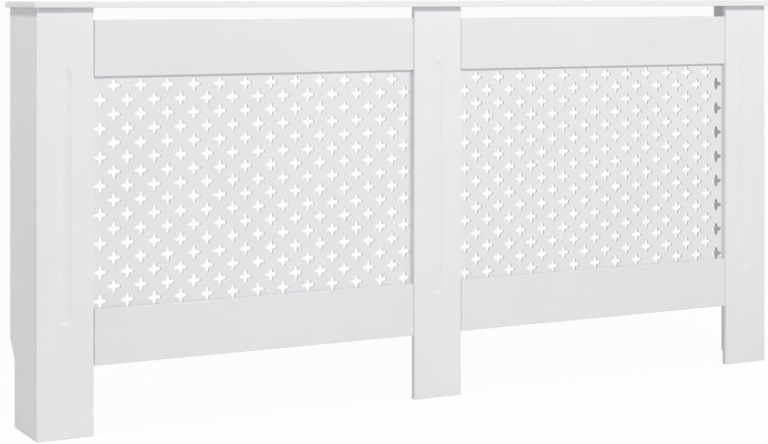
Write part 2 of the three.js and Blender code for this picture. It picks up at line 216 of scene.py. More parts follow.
def run_flute(skin, middle_x, front_y, bottom, top):
    """Presses the flute's round section and dished ends into the front of a skin."""
    half = FLUTE_WIDTH / 2
    cutter = (half ** 2 + FLUTE_DEPTH ** 2) / (2 * FLUTE_DEPTH)
    for vertex in skin.verts:
        if vertex.co.y > front_y + 0.01 * MM:
            continue
        nearest = min(max(vertex.co.z, bottom + half), top - half)
        away = math.hypot(vertex.co.x - middle_x, vertex.co.z - nearest)
        if away > FLUTE_REACH * half:
            continue
        depth = math.sqrt(cutter ** 2 - away ** 2) - (cutter - FLUTE_DEPTH)
        eased = (depth + math.hypot(depth, FLUTE_LIP)) / 2
        fade = min(1.0, max(0.0, (FLUTE_REACH * half - away) / (FLUTE_FADE * half)))
        vertex.co.y += eased * fade


def piece_from(skin, name, materials, smooth_below=SHARP_ANGLE):
    """An object from a finished skin, shaded smooth over everything but its sharp edges."""
    mesh = bpy.data.meshes.new(name)
    bmesh.ops.recalc_face_normals(skin, faces=skin.faces)
    skin.to_mesh(mesh)
    skin.free()
    for material in materials:
        mesh.materials.append(material)
    mesh.polygons.foreach_set("use_smooth", [True] * len(mesh.polygons))
    mesh.set_sharp_from_angle(angle=math.radians(smooth_below))
    piece = bpy.data.objects.new(name, mesh)
    bpy.context.scene.collection.objects.link(piece)
    return piece


def finish_piece(piece, cutters=(), bared=None):
    """Cuts the holes, their walls in the finish they bare, and evens the flats' shading."""
    if cutters:
        joined = bmesh.new()
        for cutter in cutters:
            part = bpy.data.meshes.new("cutter")
            cutter.to_mesh(part)
            cutter.free()
            joined.from_mesh(part)
            bpy.data.meshes.remove(part)
        tool = piece_from(joined, "drill", [bared])
        cut = piece.modifiers.new("holes", "BOOLEAN")
        cut.object = tool
        cut.operation = "DIFFERENCE"
        cut.solver = "EXACT"
        cut.use_self = True
        cut.material_mode = "TRANSFER"
        whole = bpy.data.meshes.new_from_object(
            piece.evaluated_get(bpy.context.evaluated_depsgraph_get())
        )
        piece.modifiers.clear()
        piece.data = whole
        bpy.data.objects.remove(tool)
        whole.set_sharp_from_angle(angle=math.radians(SHARP_ANGLE))
    even = piece.modifiers.new("even_shading", "WEIGHTED_NORMAL")
    even.keep_sharp = True


def paint_by_side(piece, front_axis):
    """Broad faces take the face lacquer, and the narrow ones and arrises the edge lacquer, which is
    lighter as painted light.
    """
    for face in piece.data.polygons:
        broad = abs(face.normal[front_axis]) > BROAD
        face.material_index = PAINTED_FACE if broad else EDGE_WITH_PAINTED_LIGHT


def drill(start, direction, radius, length, sides=DRILL_SIDES):
    """A round cutter from a start point along a direction."""
    tool = bmesh.new()
    turn = Vector((0, 0, 1)).rotation_difference(direction).to_matrix().to_4x4()
    bmesh.ops.create_cone(
        tool, cap_ends=True, segments=sides, radius1=radius, radius2=radius, depth=length,
        matrix=Matrix.Translation(start + direction * length / 2) @ turn,
    )
    return tool


def dowel_drills(low, high):
    """The holes of the dowels that enter a board, each a little wider and deeper than they are."""
    tools = []
    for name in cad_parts:
        if not name.startswith("dowel_"):
            continue
        near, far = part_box(name)
        inside = all(a < h and b > l for a, b, l, h in zip(near, far, low, high))
        if inside:
            deeper = DOWEL_HOLE_DEEPER
            start = Vector((near.x - deeper, (near.y + far.y) / 2, (near.z + far.z) / 2))
            radius = (far.z - near.z) / 2 + DOWEL_HOLE_ROOM
            length = far.x - near.x + 2 * deeper
            tools.append(drill(start, Vector((1, 0, 0)), radius, length))
    return tools


WHITE = (0.800, 0.785, 0.808)
face_lacquer = lacquer("face_lacquer", WHITE, 0.42, 0.12, 0.02)
# The edge lacquer is rougher, with more nap, as cut board edges are. Its white is lighter than the
# faces' white as painted light on the edges, reveals and arrises.
EDGE_WHITE_PAINTED_LIGHT = (0.840, 0.825, 0.848)
edge_lacquer_painted_light = lacquer("edge_lacquer_painted_light", EDGE_WHITE_PAINTED_LIGHT, 0.50, 0.14, 0.10)
drilled = drilled_board("drilled_board")
board_finish = [face_lacquer, edge_lacquer_painted_light, drilled]

for side in ("left", "centre", "right"):
    low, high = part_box(f"post_{side}")
    middle = (low.x + high.x) / 2
    flute_bottom = FLUTE_ABOVE_FLOOR
    flute_top = high.z - FLUTE_BELOW_SHELF
    columns = int(FLUTE_REACH * FLUTE_WIDTH / FLUTE_GRID)
    across = [middle + (n - columns / 2) * FLUTE_GRID for n in range(columns + 1)]
    rows = int(FLUTE_END_ROWS * FLUTE_WIDTH / FLUTE_GRID)
    overrun = FLUTE_END_OVERRUN * FLUTE_WIDTH
    along = [flute_bottom - overrun + n * FLUTE_GRID for n in range(rows + 1)]
    along += [flute_top + overrun - n * FLUTE_GRID for n in range(rows + 1)]
    skin = board_skin(low, high, ARRIS, across, along)
    run_flute(skin, middle, low.y, flute_bottom, flute_top)
    post = piece_from(skin, f"{side}_post", board_finish)
    paint_by_side(post, 1)
    finish_piece(post, dowel_drills(low, high), drilled)
    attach(post, "root")
    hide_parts(f"post_{side}")

# ---- Rails ----
# A top and a bottom rail join the posts across each bay, flush with them at the back. They
# are 9 mm board on two dowels at each end, and the left joints are a little open in front.
OPEN_JOINT = 2.6 * MM
RAIL_ARRIS_STEPS = 4
# The rails take a darker copy of the posts' white lacquer as painted shade, although the lamp
# already lights them.
RAIL_WHITE_PAINTED_SHADE = (0.768, 0.754, 0.776)


def rail_skin(low, high):
    """A rail's skin: rounded along, its right end square and its left end cut out of square."""
    ring = []
    for corner, (y, z) in enumerate((
        (high.y - ARRIS, high.z - ARRIS), (low.y + ARRIS, high.z - ARRIS),
        (low.y + ARRIS, low.z + ARRIS), (high.y - ARRIS, low.z + ARRIS),
    )):
        for n in range(RAIL_ARRIS_STEPS + 1):
            turn = math.radians(90 * corner + 90 / RAIL_ARRIS_STEPS * n)
            ring.append((y + ARRIS * math.cos(turn), z + ARRIS * math.sin(turn)))
    skin = bmesh.new()
    ends = []
    for x, opening in ((low.x, OPEN_JOINT), (high.x, 0.0)):
        slant = [x + opening * (high.y - y) / (high.y - low.y) for y, z in ring]
        ends.append([skin.verts.new((x, y, z)) for x, (y, z) in zip(slant, ring)])
    near, far = ends
    for n in range(len(ring)):
        m = (n + 1) % len(ring)
        skin.faces.new([near[n], near[m], far[m], far[n]])
    skin.faces.new(reversed(near))
    skin.faces.new(far)
    return skin


rail_lacquer_painted_shade = lacquer("rail_lacquer_painted_shade", RAIL_WHITE_PAINTED_SHADE, 0.42, 0.12, 0.02)
rail_finish = [rail_lacquer_painted_shade, edge_lacquer_painted_light, drilled]
for bay in ("left", "right"):
    for level in ("top", "bottom"):
        low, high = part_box(f"{level}_rail_{bay}")
        rail = piece_from(rail_skin(low, high), f"{bay}_{level}_rail", rail_finish)
        paint_by_side(rail, 1)
        finish_piece(rail, dowel_drills(low, high), drilled)
        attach(rail, "root")
        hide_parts(f"{level}_rail_{bay}")

# ---- Perforated sheets ----
# Each bay is closed by a 3 mm sheet with staggered rows of punched crosses. The punch leaves
# soft corners, the lacquer rounds them further, and the sheet is fixed behind the rails.
CROSS_STEP = 27.1 * MM
CROSS_DROP = 3 * MM
CROSS_COLUMNS = 25
CROSS_ROWS = 16
CROSS_SPAN = 26 * MM
ARM_TIP_ROUND = 3.2 * MM
INNER_CORNER = 4.5 * MM
INNER_ROUND = 1.5 * MM
PUNCHED_EDGE = 0.35 * MM
TIP_SWEEP = 80
INNER_SWEEP = (262, 188)
TIP_STEPS, INNER_STEPS = 5, 2
KEEP_TRIANGLES_INSIDE = 1
SAME_POINT = 1e-7
SHEET_SHARP_ANGLE = 50
SHEET_FACE, PUNCHED_WALL = 0, 1


def arc(middle, radius, start, end, steps):
    """Points on an arc, its angles in degrees."""
    angles = [math.radians(start + (end - start) * n / steps) for n in range(steps + 1)]
    return [middle + Vector((math.cos(a), math.sin(a))) * radius for a in angles]


def cross_outline(grow):
    """A cross with round-tipped arms that widen to the middle, grown outwards all round."""
    tip = CROSS_SPAN / 2 - ARM_TIP_ROUND
    fillet = INNER_CORNER + INNER_ROUND / math.sqrt(2)
    quarter = arc(Vector((tip, 0)), ARM_TIP_ROUND + grow, -TIP_SWEEP, TIP_SWEEP, TIP_STEPS)
    quarter += arc(Vector((fillet, fillet)), INNER_ROUND - grow, *INNER_SWEEP, INNER_STEPS)
    turns = [Matrix.Rotation(math.radians(90 * n), 2) for n in range(4)]
    return [turn @ point for turn in turns for point in quarter]


def sheet_skin(low, high):
    """A sheet pierced by the crosses, with its punched edges rounded front and back."""
    middle_x = (low.x + high.x) / 2
    middle_z = (low.z + high.z) / 2 - CROSS_DROP
    centres = [
        Vector((
            middle_x + (column - (CROSS_COLUMNS - 1) / 2) * CROSS_STEP,
            middle_z + (row - (CROSS_ROWS - 1) / 2) * CROSS_STEP,
        ))
        for row in range(CROSS_ROWS)
        for column in range(row % 2, CROSS_COLUMNS, 2)
    ]
    # Each ring is how deep it lies and how far the hole is grown there
    soft = PUNCHED_EDGE
    rings = [(low.y, soft), (low.y + 0.3 * soft, 0.3 * soft), (low.y + soft, 0.0)]
    rings += [(high.y - soft, 0.0), (high.y, soft)]
    border = [(low.x, low.z), (high.x, low.z), (high.x, high.z), (low.x, high.z)]
    outline = cross_outline(soft)
    points = [Vector(p) for p in border] + [c + p for c in centres for p in outline]
    loops = [list(range(4))]
    for n in range(len(centres)):
        first = 4 + n * len(outline)
        loops.append(list(range(first, first + len(outline))))
    spots, _, triangles, came_from, _, lies_in = geometry.delaunay_2d_cdt(
        points, [], loops, KEEP_TRIANGLES_INSIDE, SAME_POINT
    )
    home = {n: at for at, numbers in enumerate(came_from) for n in numbers}
    skin = bmesh.new()
    fronts = [skin.verts.new((p.x, low.y, p.y)) for p in spots]
    backs = [skin.verts.new((p.x, high.y, p.y)) for p in spots]
    for triangle, inside in zip(triangles, lies_in):
        if max(inside) == 0:
            skin.faces.new([fronts[n] for n in triangle])
            skin.faces.new([backs[n] for n in reversed(triangle)])

    def wall(inner, outer):
        for n in range(len(inner)):
            m = (n + 1) % len(inner)
            skin.faces.new([inner[n], inner[m], outer[m], outer[n]])

    wall([fronts[home[n]] for n in range(4)], [backs[home[n]] for n in range(4)])
    for n, centre in enumerate(centres):
        first = 4 + n * len(outline)
        numbers = [home[first + m] for m in range(len(outline))]
        layers = [[fronts[m] for m in numbers]]
        for depth, grow in rings[1:-1]:
            shape = cross_outline(grow)
            layers.append([
                skin.verts.new((centre.x + p.x, depth, centre.y + p.y)) for p in shape
            ])
        layers.append([backs[m] for m in numbers])
        for near, far in zip(layers, layers[1:]):
            wall(near, far)
    return skin


SHEET_WHITE = (0.770, 0.757, 0.778)
# The walls of the punched crosses are coloured dark grey, about half as light as the sheet's face.
WALL_GREY = (0.40, 0.385, 0.38)
sheet_lacquer = lacquer("sheet_lacquer", SHEET_WHITE, 0.48, 0.10, 0.03)
punched_wall = lacquer("punched_wall", WALL_GREY, 0.75, 0.05, 0.30)
for bay in ("left", "right"):
    low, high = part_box(f"grille_{bay}")
    sheet_finish = [sheet_lacquer, punched_wall]
    name = f"{bay}_perforated_sheet"
    sheet = piece_from(sheet_skin(low, high), name, sheet_finish, SHEET_SHARP_ANGLE)
    for face in sheet.data.polygons:
        through = low.y + PUNCHED_EDGE < face.center.y < high.y - PUNCHED_EDGE
        face.material_index = PUNCHED_WALL if through else SHEET_FACE
    finish_piece(sheet)
    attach(sheet, "root")
    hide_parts(f"grille_{bay}")

# ---- Dowels ----
# Sixteen beech dowels, 30 mm long, turned with fine grooves that let the glue out, and with
# chamfered ends. Half of each sits in a rail and half in a post.
GROOVES = 12
GROOVE_DEPTH = 0.25 * MM
DOWEL_CHAMFER = 0.8 * MM


def beech(name):
    """Pale beech with the short dark flecks of its rays, along X."""
    material, shader, add, join = shader_of(name)
    place = add("ShaderNodeTexCoord")
    along = add("ShaderNodeMapping")
    along.inputs["Scale"].default_value = (0.12, 1.0, 1.0)
    flecks = add("ShaderNodeTexNoise", Scale=1400.0, Detail=3.0)
    tans = add("ShaderNodeValToRGB")
    tans.color_ramp.elements[0].position = 0.34
    tans.color_ramp.elements[0].color = (0.36, 0.21, 0.11, 1)
    tans.color_ramp.elements[1].position = 0.46
    tans.color_ramp.elements[1].color = (0.62, 0.43, 0.26, 1)
    grain = add("ShaderNodeBump", Strength=0.4, Distance=0.05 * MM)
    join(place.outputs["Object"], along.inputs["Vector"])
    join(along.outputs["Vector"], flecks.inputs["Vector"])
    join(flecks.outputs["Fac"], tans.inputs["Fac"])
    join(tans.outputs["Color"], shader.inputs["Base Color"])
    join(flecks.outputs["Fac"], grain.inputs["Height"])
    join(grain.outputs["Normal"], shader.inputs["Normal"])
    shader.inputs["Roughness"].default_value = 0.7
    return material


def turned_skin(rings, sides, radius_at):
    """A closed skin round Z from its rings: radius_at gives each point's distance out."""
    skin = bmesh.new()
    layers = []
    for ring in rings:
        layer = []
        for n in range(sides):
            angle = 2 * math.pi * n / sides
            out = radius_at(ring, angle)
            layer.append(skin.verts.new((out * math.cos(angle), out * math.sin(angle), ring[1])))
        layers.append(layer)
    for near, far in zip(layers, layers[1:]):
        for n in range(sides):
            m = (n + 1) % sides
            skin.faces.new([near[n], near[m], far[m], far[n]])
    skin.faces.new(reversed(layers[0]))
    skin.faces.new(layers[-1])
    return skin


def lay(skin, start, direction):
    """Turns a skin made round Z to lie from a start point along a direction."""
    turn = Vector((0, 0, 1)).rotation_difference(direction).to_matrix().to_4x4()
    bmesh.ops.transform(skin, matrix=Matrix.Translation(start) @ turn, verts=skin.verts)
    return skin


def grooved(ring, angle):
    """How far out a dowel's ring stands at an angle, with its glue grooves."""
    return ring[0] - GROOVE_DEPTH * (0.5 + 0.5 * math.cos(GROOVES * angle)) ** 2


dowel_beech = beech("dowel_beech")
for name in sorted(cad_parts):
    if not name.startswith("dowel_"):
        continue
    low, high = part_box(name)
    radius = (high.y - low.y) / 2
    length = high.x - low.x
    rings = [(radius - DOWEL_CHAMFER, 0), (radius, DOWEL_CHAMFER)]
    rings += [(radius, length * n / 4) for n in (1, 2, 3)]
    rings += [(radius, length - DOWEL_CHAMFER), (radius - DOWEL_CHAMFER, length)]
    start = Vector((low.x, (low.y + high.y) / 2, (low.z + high.z) / 2))
    skin = lay(turned_skin(rings, 4 * GROOVES, grooved), start, Vector((1, 0, 0)))
    dowel = piece_from(skin, f"beech_{name}", [dowel_beech])
    finish_piece(dowel)
    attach(dowel, "root")
    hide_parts(name)

# ---- Side panels ----
# Two upright boards close the ends. Each is jigsawn away at the lower back to clear the
# skirting board, with a slope over the cut, and is screwed to a batten behind its post.
NOTCH_DEPTH = 29 * MM
NOTCH_HEIGHT = 131 * MM
NOTCH_SLOPE_RISE = 37 * MM
SHANK_HOLE_RADIUS = 2.3 * MM
SHANK_HOLE_BACK = 0.5 * MM
SHANK_HOLE_PAST = 0.3 * MM
SINK_MOUTH_RADIUS = 4.6 * MM
SINK_FOOT_RADIUS = 1.96 * MM
SINK_DEPTH = 3.3 * MM
SINK_BACK = 0.3 * MM
PANEL_ARRIS_STEPS = 4


def screw_drills(prefix, outward, sunk=False):
    """The holes of a group of screws: a shank hole, and a countersink where there is one."""
    tools = []
    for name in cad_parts:
        if not name.startswith(prefix):
            continue
        near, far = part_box(name)
        middle = (near + far) / 2
        axis = max(range(3), key=lambda n: abs(outward[n]))
        length = far[axis] - near[axis]
        start = middle - outward * length / 2
        foot = start - outward * SHANK_HOLE_BACK
        reach = length + SHANK_HOLE_BACK + SHANK_HOLE_PAST
        tools.append(drill(foot, outward, SHANK_HOLE_RADIUS, reach))
        if sunk:
            tools.append(countersink(start, outward))
    return tools


def countersink(start, outward):
    """The cone that a countersunk head sits in."""
    tool = bmesh.new()
    turn = Vector((0, 0, 1)).rotation_difference(outward).to_matrix().to_4x4()
    middle = start + outward * (SINK_DEPTH / 2 - SINK_BACK)
    bmesh.ops.create_cone(
        tool, cap_ends=True, segments=DRILL_SIDES, radius1=SINK_MOUTH_RADIUS,
        radius2=SINK_FOOT_RADIUS, depth=SINK_DEPTH, matrix=Matrix.Translation(middle) @ turn,
    )
    return tool


UP, LEFT, RIGHT = Vector((0, 0, 1)), Vector((-1, 0, 0)), Vector((1, 0, 0))
for side, outward in (("left", LEFT), ("right", RIGHT)):
    low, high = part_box(f"side_panel_{side}")
    outline = [
        (low.y, 0), (high.y - NOTCH_DEPTH, 0), (high.y - NOTCH_DEPTH, NOTCH_HEIGHT),
        (high.y, NOTCH_HEIGHT + NOTCH_SLOPE_RISE), (high.y, high.z), (low.y, high.z),
    ]
    skin = bmesh.new()
    base = skin.faces.new([skin.verts.new((low.x, y, z)) for y, z in outline])
    thick = bmesh.ops.extrude_face_region(skin, geom=[base])
    moved = [v for v in thick["geom"] if isinstance(v, bmesh.types.BMVert)]
    bmesh.ops.translate(skin, verts=moved, vec=(high.x - low.x, 0, 0))
    bmesh.ops.recalc_face_normals(skin, faces=skin.faces)
    bmesh.ops.bevel(
        skin, geom=skin.edges[:], offset=ARRIS, segments=PANEL_ARRIS_STEPS, profile=0.5,
        affect="EDGES",
    )
    panel = piece_from(skin, f"{side}_side_panel", board_finish)
    paint_by_side(panel, 0)
    holes = screw_drills(f"batten_screw_{side}", outward)
    holes += screw_drills(f"bracket_screw_{side}", outward)
    finish_piece(panel, holes, drilled)
    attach(panel, "root")
    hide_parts(f"side_panel_{side}")

# ---- Battens, cleats and block ----
# Planed pine, 18 mm thick, left bare: a batten in each front corner, a flat one behind the
# centre post, and a cleat at each end and a block in the middle to hold the shelf.
EASED = 1.0 * MM
GROWTH_RING = 3.2 * MM
EARLY_WOOD = (0.73, 0.55, 0.34)
LATE_WOOD = (0.54, 0.35, 0.17)


def planed_pine(name, grain, pith):
    """Pine with its growth rings round a pith beside the piece, and fibres along the grain."""
    material, shader, add, join = shader_of(name)
    place = add("ShaderNodeTexCoord")
    log = add("ShaderNodeMapping", Location=pith)
    log.inputs["Scale"].default_value = [0.1 if axis == grain else 1.0 for axis in range(3)]
    rings = add("ShaderNodeTexWave", wave_type="RINGS", rings_direction="XYZ"[grain])
    rings.wave_profile = "SAW"
    rings.inputs["Scale"].default_value = 2 * math.pi / (20 * GROWTH_RING)
    rings.inputs["Distortion"].default_value = 5.0
    rings.inputs["Detail"].default_value = 2.0
    rings.inputs["Detail Scale"].default_value = 0.35
    strand = add("ShaderNodeMapping")
    strand.inputs["Scale"].default_value = [0.03 if axis == grain else 1.0 for axis in range(3)]
    fibres = add("ShaderNodeTexNoise", Scale=1700.0, Detail=3.0)
    woods = add("ShaderNodeValToRGB")
    woods.color_ramp.elements[0].position = 0.25
    woods.color_ramp.elements[0].color = EARLY_WOOD + (1,)
    woods.color_ramp.elements[1].position = 0.97
    woods.color_ramp.elements[1].color = LATE_WOOD + (1,)
    streaks = add("ShaderNodeMapRange")
    streaks.inputs["To Min"].default_value = 0.78
    streaks.inputs["To Max"].default_value = 1.12
    tinted = add("ShaderNodeVectorMath", operation="SCALE")
    raised = add("ShaderNodeBump", Strength=0.35, Distance=0.05 * MM)
    join(place.outputs["Object"], log.inputs["Vector"])
    join(place.outputs["Object"], strand.inputs["Vector"])
    join(log.outputs["Vector"], rings.inputs["Vector"])
    join(strand.outputs["Vector"], fibres.inputs["Vector"])
    join(rings.outputs["Fac"], woods.inputs["Fac"])
    join(fibres.outputs["Fac"], streaks.inputs["Value"])
    join(woods.outputs["Color"], tinted.inputs[0])
    join(streaks.outputs["Result"], tinted.inputs["Scale"])
    join(tinted.outputs["Vector"], shader.inputs["Base Color"])
    join(fibres.outputs["Fac"], raised.inputs["Height"])
    join(raised.outputs["Normal"], shader.inputs["Normal"])
    shader.inputs["Roughness"].default_value = 0.72
    return material


def planed_stick(name, node, wood, holes=()):
    """A planed stick of pine with its arrises eased and its screw holes countersunk."""
    low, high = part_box(node)
    stick = piece_from(board_skin(low, high, EASED), name, [wood])
    finish_piece(stick, holes, wood)
    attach(stick, "root")
    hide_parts(node)


upright_pine = planed_pine("upright_pine", 2, (0.031, 0.092, 0.0))
cleat_pine = planed_pine("cleat_pine", 1, (0.026, 0.0, -0.773))
block_pine = planed_pine("block_pine", 0, (0.0, 0.051, -0.821))
for side, outward in (("left", LEFT), ("right", RIGHT)):
    batten_holes = screw_drills(f"batten_screw_{side}", outward, sunk=True)
    planed_stick(f"{side}_corner_stick", f"corner_batten_{side}", upright_pine, batten_holes)
    cleat_holes = screw_drills(f"cleat_screw_{side}", UP, sunk=True)
    planed_stick(f"{side}_shelf_stick", f"shelf_cleat_{side}", cleat_pine, cleat_holes)
planed_stick("centre_spine", "centre_batten", upright_pine)
block_holes = screw_drills("block_screw", UP, sunk=True)
planed_stick("centre_shelf_stick", "shelf_block_centre", block_pine, block_holes)

# ---- Screws ----
# Zinc-plated countersunk wood screws come through the battens, cleats and block, and pan heads
# hold the brackets. Each has a cut thread, a sharp tip and a cross recess.
SCREW_RADIUS = 2.0 * MM
CORE_RADIUS = 1.35 * MM
THREAD_PITCH = 1.8 * MM
SCREW_TIP = 4 * MM
COUNTERSUNK_RADIUS = 4.0 * MM
COUNTERSUNK_DEPTH = 2.5 * MM
PAN_RADIUS = 3.75 * MM
PAN_HEIGHT = 2.4 * MM
RECESS_WIDTH = 1.1 * MM
RECESS_SPAN = 4.2 * MM
RECESS_DEPTH = 1.6 * MM
RECESS_ABOVE_HEAD = 0.5 * MM
RECESS_TURN = 20
RECESS_FOOT_SPAN = 0.45
RECESS_FOOT_WIDTH = 0.6
NECK_RADIUS = SCREW_RADIUS * 0.95
TIP_RADIUS = 0.15 * MM
THREAD_STEPS = 6
RUN_IN_CORE = 0.35
SCREW_SIDES = 24


def zinc(name, tone, gloss):
    """Zinc plate: bright grey metal, clouded and finely scratched."""
    material, shader, add, join = shader_of(name)
    place = add("ShaderNodeTexCoord")
    spangle = add("ShaderNodeTexNoise", Scale=900.0, Detail=4.0)
    greys = add("ShaderNodeValToRGB")
    greys.color_ramp.elements[0].position = 0.3
    greys.color_ramp.elements[0].color = [t * 0.82 for t in tone] + [1]
    greys.color_ramp.elements[1].position = 0.7
    greys.color_ramp.elements[1].color = list(tone) + [1]
    dull = add("ShaderNodeMapRange")
    dull.inputs["To Min"].default_value = gloss - 0.08
    dull.inputs["To Max"].default_value = gloss + 0.10
    scratch = add("ShaderNodeMapping")
    scratch.inputs["Scale"].default_value = (1.0, 0.1, 1.0)
    lines = add("ShaderNodeTexNoise", Scale=2600.0, Detail=2.0)
    scored = add("ShaderNodeBump", Strength=0.25, Distance=0.02 * MM)
    join(place.outputs["Object"], spangle.inputs["Vector"])
    join(place.outputs["Object"], scratch.inputs["Vector"])
    join(scratch.outputs["Vector"], lines.inputs["Vector"])
    join(spangle.outputs["Fac"], greys.inputs["Fac"])
    join(spangle.outputs["Fac"], dull.inputs["Value"])
    join(greys.outputs["Color"], shader.inputs["Base Color"])
    join(dull.outputs["Result"], shader.inputs["Roughness"])
    join(lines.outputs["Fac"], scored.inputs["Height"])
    join(scored.outputs["Normal"], shader.inputs["Normal"])
    shader.inputs["Metallic"].default_value = 1.0
    return material


def threaded(head_profile, length):
    """Rings of a screw from its head to its tip, and how far each point of a ring stands out."""
    shank_from = head_profile[-1][1]
    steps = int((length - shank_from) / THREAD_PITCH * THREAD_STEPS)
    shank = [(None, shank_from + (length - shank_from) * n / steps) for n in range(1, steps)]
    rings = head_profile + shank + [(TIP_RADIUS, length)]

    def radius_at(ring, angle):
        if ring[0] is not None:
            return ring[0]
        turn = ((ring[1] - shank_from) / THREAD_PITCH - angle / (2 * math.pi)) % 1.0
        ridge = max(0.0, 1 - abs(turn - 0.5) * 4)
        taper = min(1.0, (length - ring[1]) / SCREW_TIP)
        run_in = min(1.0, (ring[1] - shank_from) / (2 * THREAD_PITCH))
        core = CORE_RADIUS + (SCREW_RADIUS - CORE_RADIUS) * RUN_IN_CORE * (1 - run_in)
        return max(TIP_RADIUS, (core + (SCREW_RADIUS - core) * ridge * run_in) * taper)

    return rings, radius_at


def cross_recess(top):
    """The tapered cross that the driver fits, sunk from the head's top."""
    tools = []
    for n in range(2):
        tool = bmesh.new()
        bmesh.ops.create_cube(tool, size=1.0)
        for vertex in tool.verts:
            sunk = vertex.co.z > 0
            vertex.co.x *= RECESS_SPAN * (RECESS_FOOT_SPAN if sunk else 1.0)
            vertex.co.y *= RECESS_WIDTH * (RECESS_FOOT_WIDTH if sunk else 1.0)
            vertex.co.z = top + RECESS_DEPTH if sunk else top - RECESS_ABOVE_HEAD
        turned = Matrix.Rotation(math.radians(90 * n + RECESS_TURN), 4, "Z")
        bmesh.ops.transform(tool, matrix=turned, verts=tool.verts)
        tools.append(tool)
    return tools


def screw(name, node, outward, head_profile, length):
    """A finished screw: made upright, recessed, and laid along its hole."""
    rings, radius_at = threaded(head_profile, length)
    piece = piece_from(turned_skin(rings, SCREW_SIDES, radius_at), name, [screw_zinc])
    finish_piece(piece, cross_recess(head_profile[0][1]), screw_zinc)
    low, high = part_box(node)
    axis = max(range(3), key=lambda n: abs(outward[n]))
    start = (low + high) / 2
    start[axis] = (low if outward[axis] > 0 else high)[axis]
    start -= outward * head_profile[0][1]
    turn = Vector((0, 0, 1)).rotation_difference(outward).to_matrix().to_4x4()
    piece.matrix_world = Matrix.Translation(start) @ turn
    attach(piece, "root")
    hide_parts(node)


screw_zinc = zinc("screw_zinc", (0.66, 0.67, 0.69), 0.32)
COUNTERSUNK = [
    (3.7 * MM, 0.0), (COUNTERSUNK_RADIUS, 0.15 * MM), (COUNTERSUNK_RADIUS, 0.35 * MM),
    (NECK_RADIUS, COUNTERSUNK_DEPTH),
]
PAN = [
    (2.2 * MM, -PAN_HEIGHT), (3.0 * MM, -PAN_HEIGHT * 0.9), (3.5 * MM, -PAN_HEIGHT * 0.68),
    (PAN_RADIUS, -PAN_HEIGHT * 0.35), (PAN_RADIUS, -0.1 * MM), (3.6 * MM, 0.0),
    (NECK_RADIUS, 0.0),
]
for node in sorted(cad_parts):
    if "screw" not in node:
        continue
    outward = UP
    if "cleat" not in node and "block" not in node:
        outward = LEFT if "left" in node else RIGHT
    low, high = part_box(node)
    axis = max(range(3), key=lambda n: abs(outward[n]))
    if node.startswith("bracket"):
        screw(f"pan_head_{node}", node, outward, PAN, high[axis] - low[axis] - PAN_HEIGHT)
    else:
        screw(f"countersunk_{node}", node, outward, COUNTERSUNK, high[axis] - low[axis])

# ---- Staples ----
# Each sheet is stapled from behind, through its lap, to the rails and the posts. Only the
# steel wire crowns show, with round shoulders where the legs turn in.
STAPLE_CROWN = 10 * MM
STAPLE_WIRE = 1.2 * MM
STAPLE_PROUD = 0.55 * MM
STAPLE_LEG = 2.4 * MM
SHOULDER = 1.0 * MM
STAPLE_SPACING = 96 * MM
RAIL_LAP_MIDDLE = 10 * MM
POST_LAP_MIDDLE = 5 * MM
FIRST_ACROSS = 30 * MM
FIRST_UP = 50 * MM


def staple(skin, middle, across):
    """Adds one staple: a flat wire whose legs turn down into the sheet at rounded shoulders."""
    half = STAPLE_CROWN / 2
    stops = [(-half, -STAPLE_LEG), (-half, STAPLE_PROUD - SHOULDER)]
    stops += [(-half + SHOULDER * (1 - math.cos(math.radians(a))),
               STAPLE_PROUD - SHOULDER * (1 - math.sin(math.radians(a)))) for a in (30, 60, 90)]
    stops += [(-along, out) for along, out in reversed(stops)]
    upright = Vector((0, 1, 0)).cross(across)
    layers = []
    for n, (along, out) in enumerate(stops):
        before, after = stops[max(n - 1, 0)], stops[min(n + 1, len(stops) - 1)]
        run = Vector((after[0] - before[0], after[1] - before[1])).normalized()
        inward = Vector((run.y, -run.x)) * STAPLE_WIRE / 2
        ring = []
        for side, deep in ((-1, 0), (1, 0), (1, 1), (-1, 1)):
            flat = Vector((along, out)) + inward * deep
            place = middle + across * flat.x + Vector((0, 1, 0)) * flat.y
            ring.append(skin.verts.new(place + upright * side * STAPLE_WIRE / 2))
        layers.append(ring)
    for near, far in zip(layers, layers[1:]):
        for n in range(4):
            m = (n + 1) % 4
            skin.faces.new([near[n], near[m], far[m], far[n]])
    skin.faces.new(reversed(layers[0]))
    skin.faces.new(layers[-1])


def evenly(start, end, inset):
    """Places about a staple's spacing apart between two ends, set in from both."""
    count = round((end - start - 2 * inset) / STAPLE_SPACING)
    step = (end - start - 2 * inset) / count
    return [start + inset + n * step for n in range(count + 1)]


for bay in ("left", "right"):
    low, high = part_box(f"grille_{bay}")
    skin = bmesh.new()
    for x in evenly(low.x, high.x, FIRST_ACROSS):
        for z in (low.z + RAIL_LAP_MIDDLE, high.z - RAIL_LAP_MIDDLE):
            staple(skin, Vector((x, high.y, z)), Vector((1, 0, 0)))
    for z in evenly(low.z, high.z, FIRST_UP):
        for x in (low.x + POST_LAP_MIDDLE, high.x - POST_LAP_MIDDLE):
            staple(skin, Vector((x, high.y, z)), Vector((0, 0, 1)))
    staples = piece_from(skin, f"{bay}_sheet_staples", [screw_zinc])
    finish_piece(staples)
    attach(staples, "root")

# ---- Wall brackets ----
# A strip of 2 mm zinc-plated steel, its corners rounded, bent square: one leg is screwed to
# the side panel's inside, and the other lies on the wall, with a hole for the wall screw.
STRIP_THICKNESS = 2 * MM
STRIP_WIDTH = 20 * MM
STRIP_BEND = 4 * MM
STRIP_CORNER = 4 * MM
STRIP_BURR = 0.3 * MM
WALL_HOLE_RADIUS = 3 * MM
WALL_HOLE_FROM_BEND = 22 * MM
WALL_HOLE_SIDES = 32
PANEL_HOLE_RADIUS = 2.2 * MM
END_STEPS = 6
END_FLAT = math.radians(2)
BEND_STEPS = 8


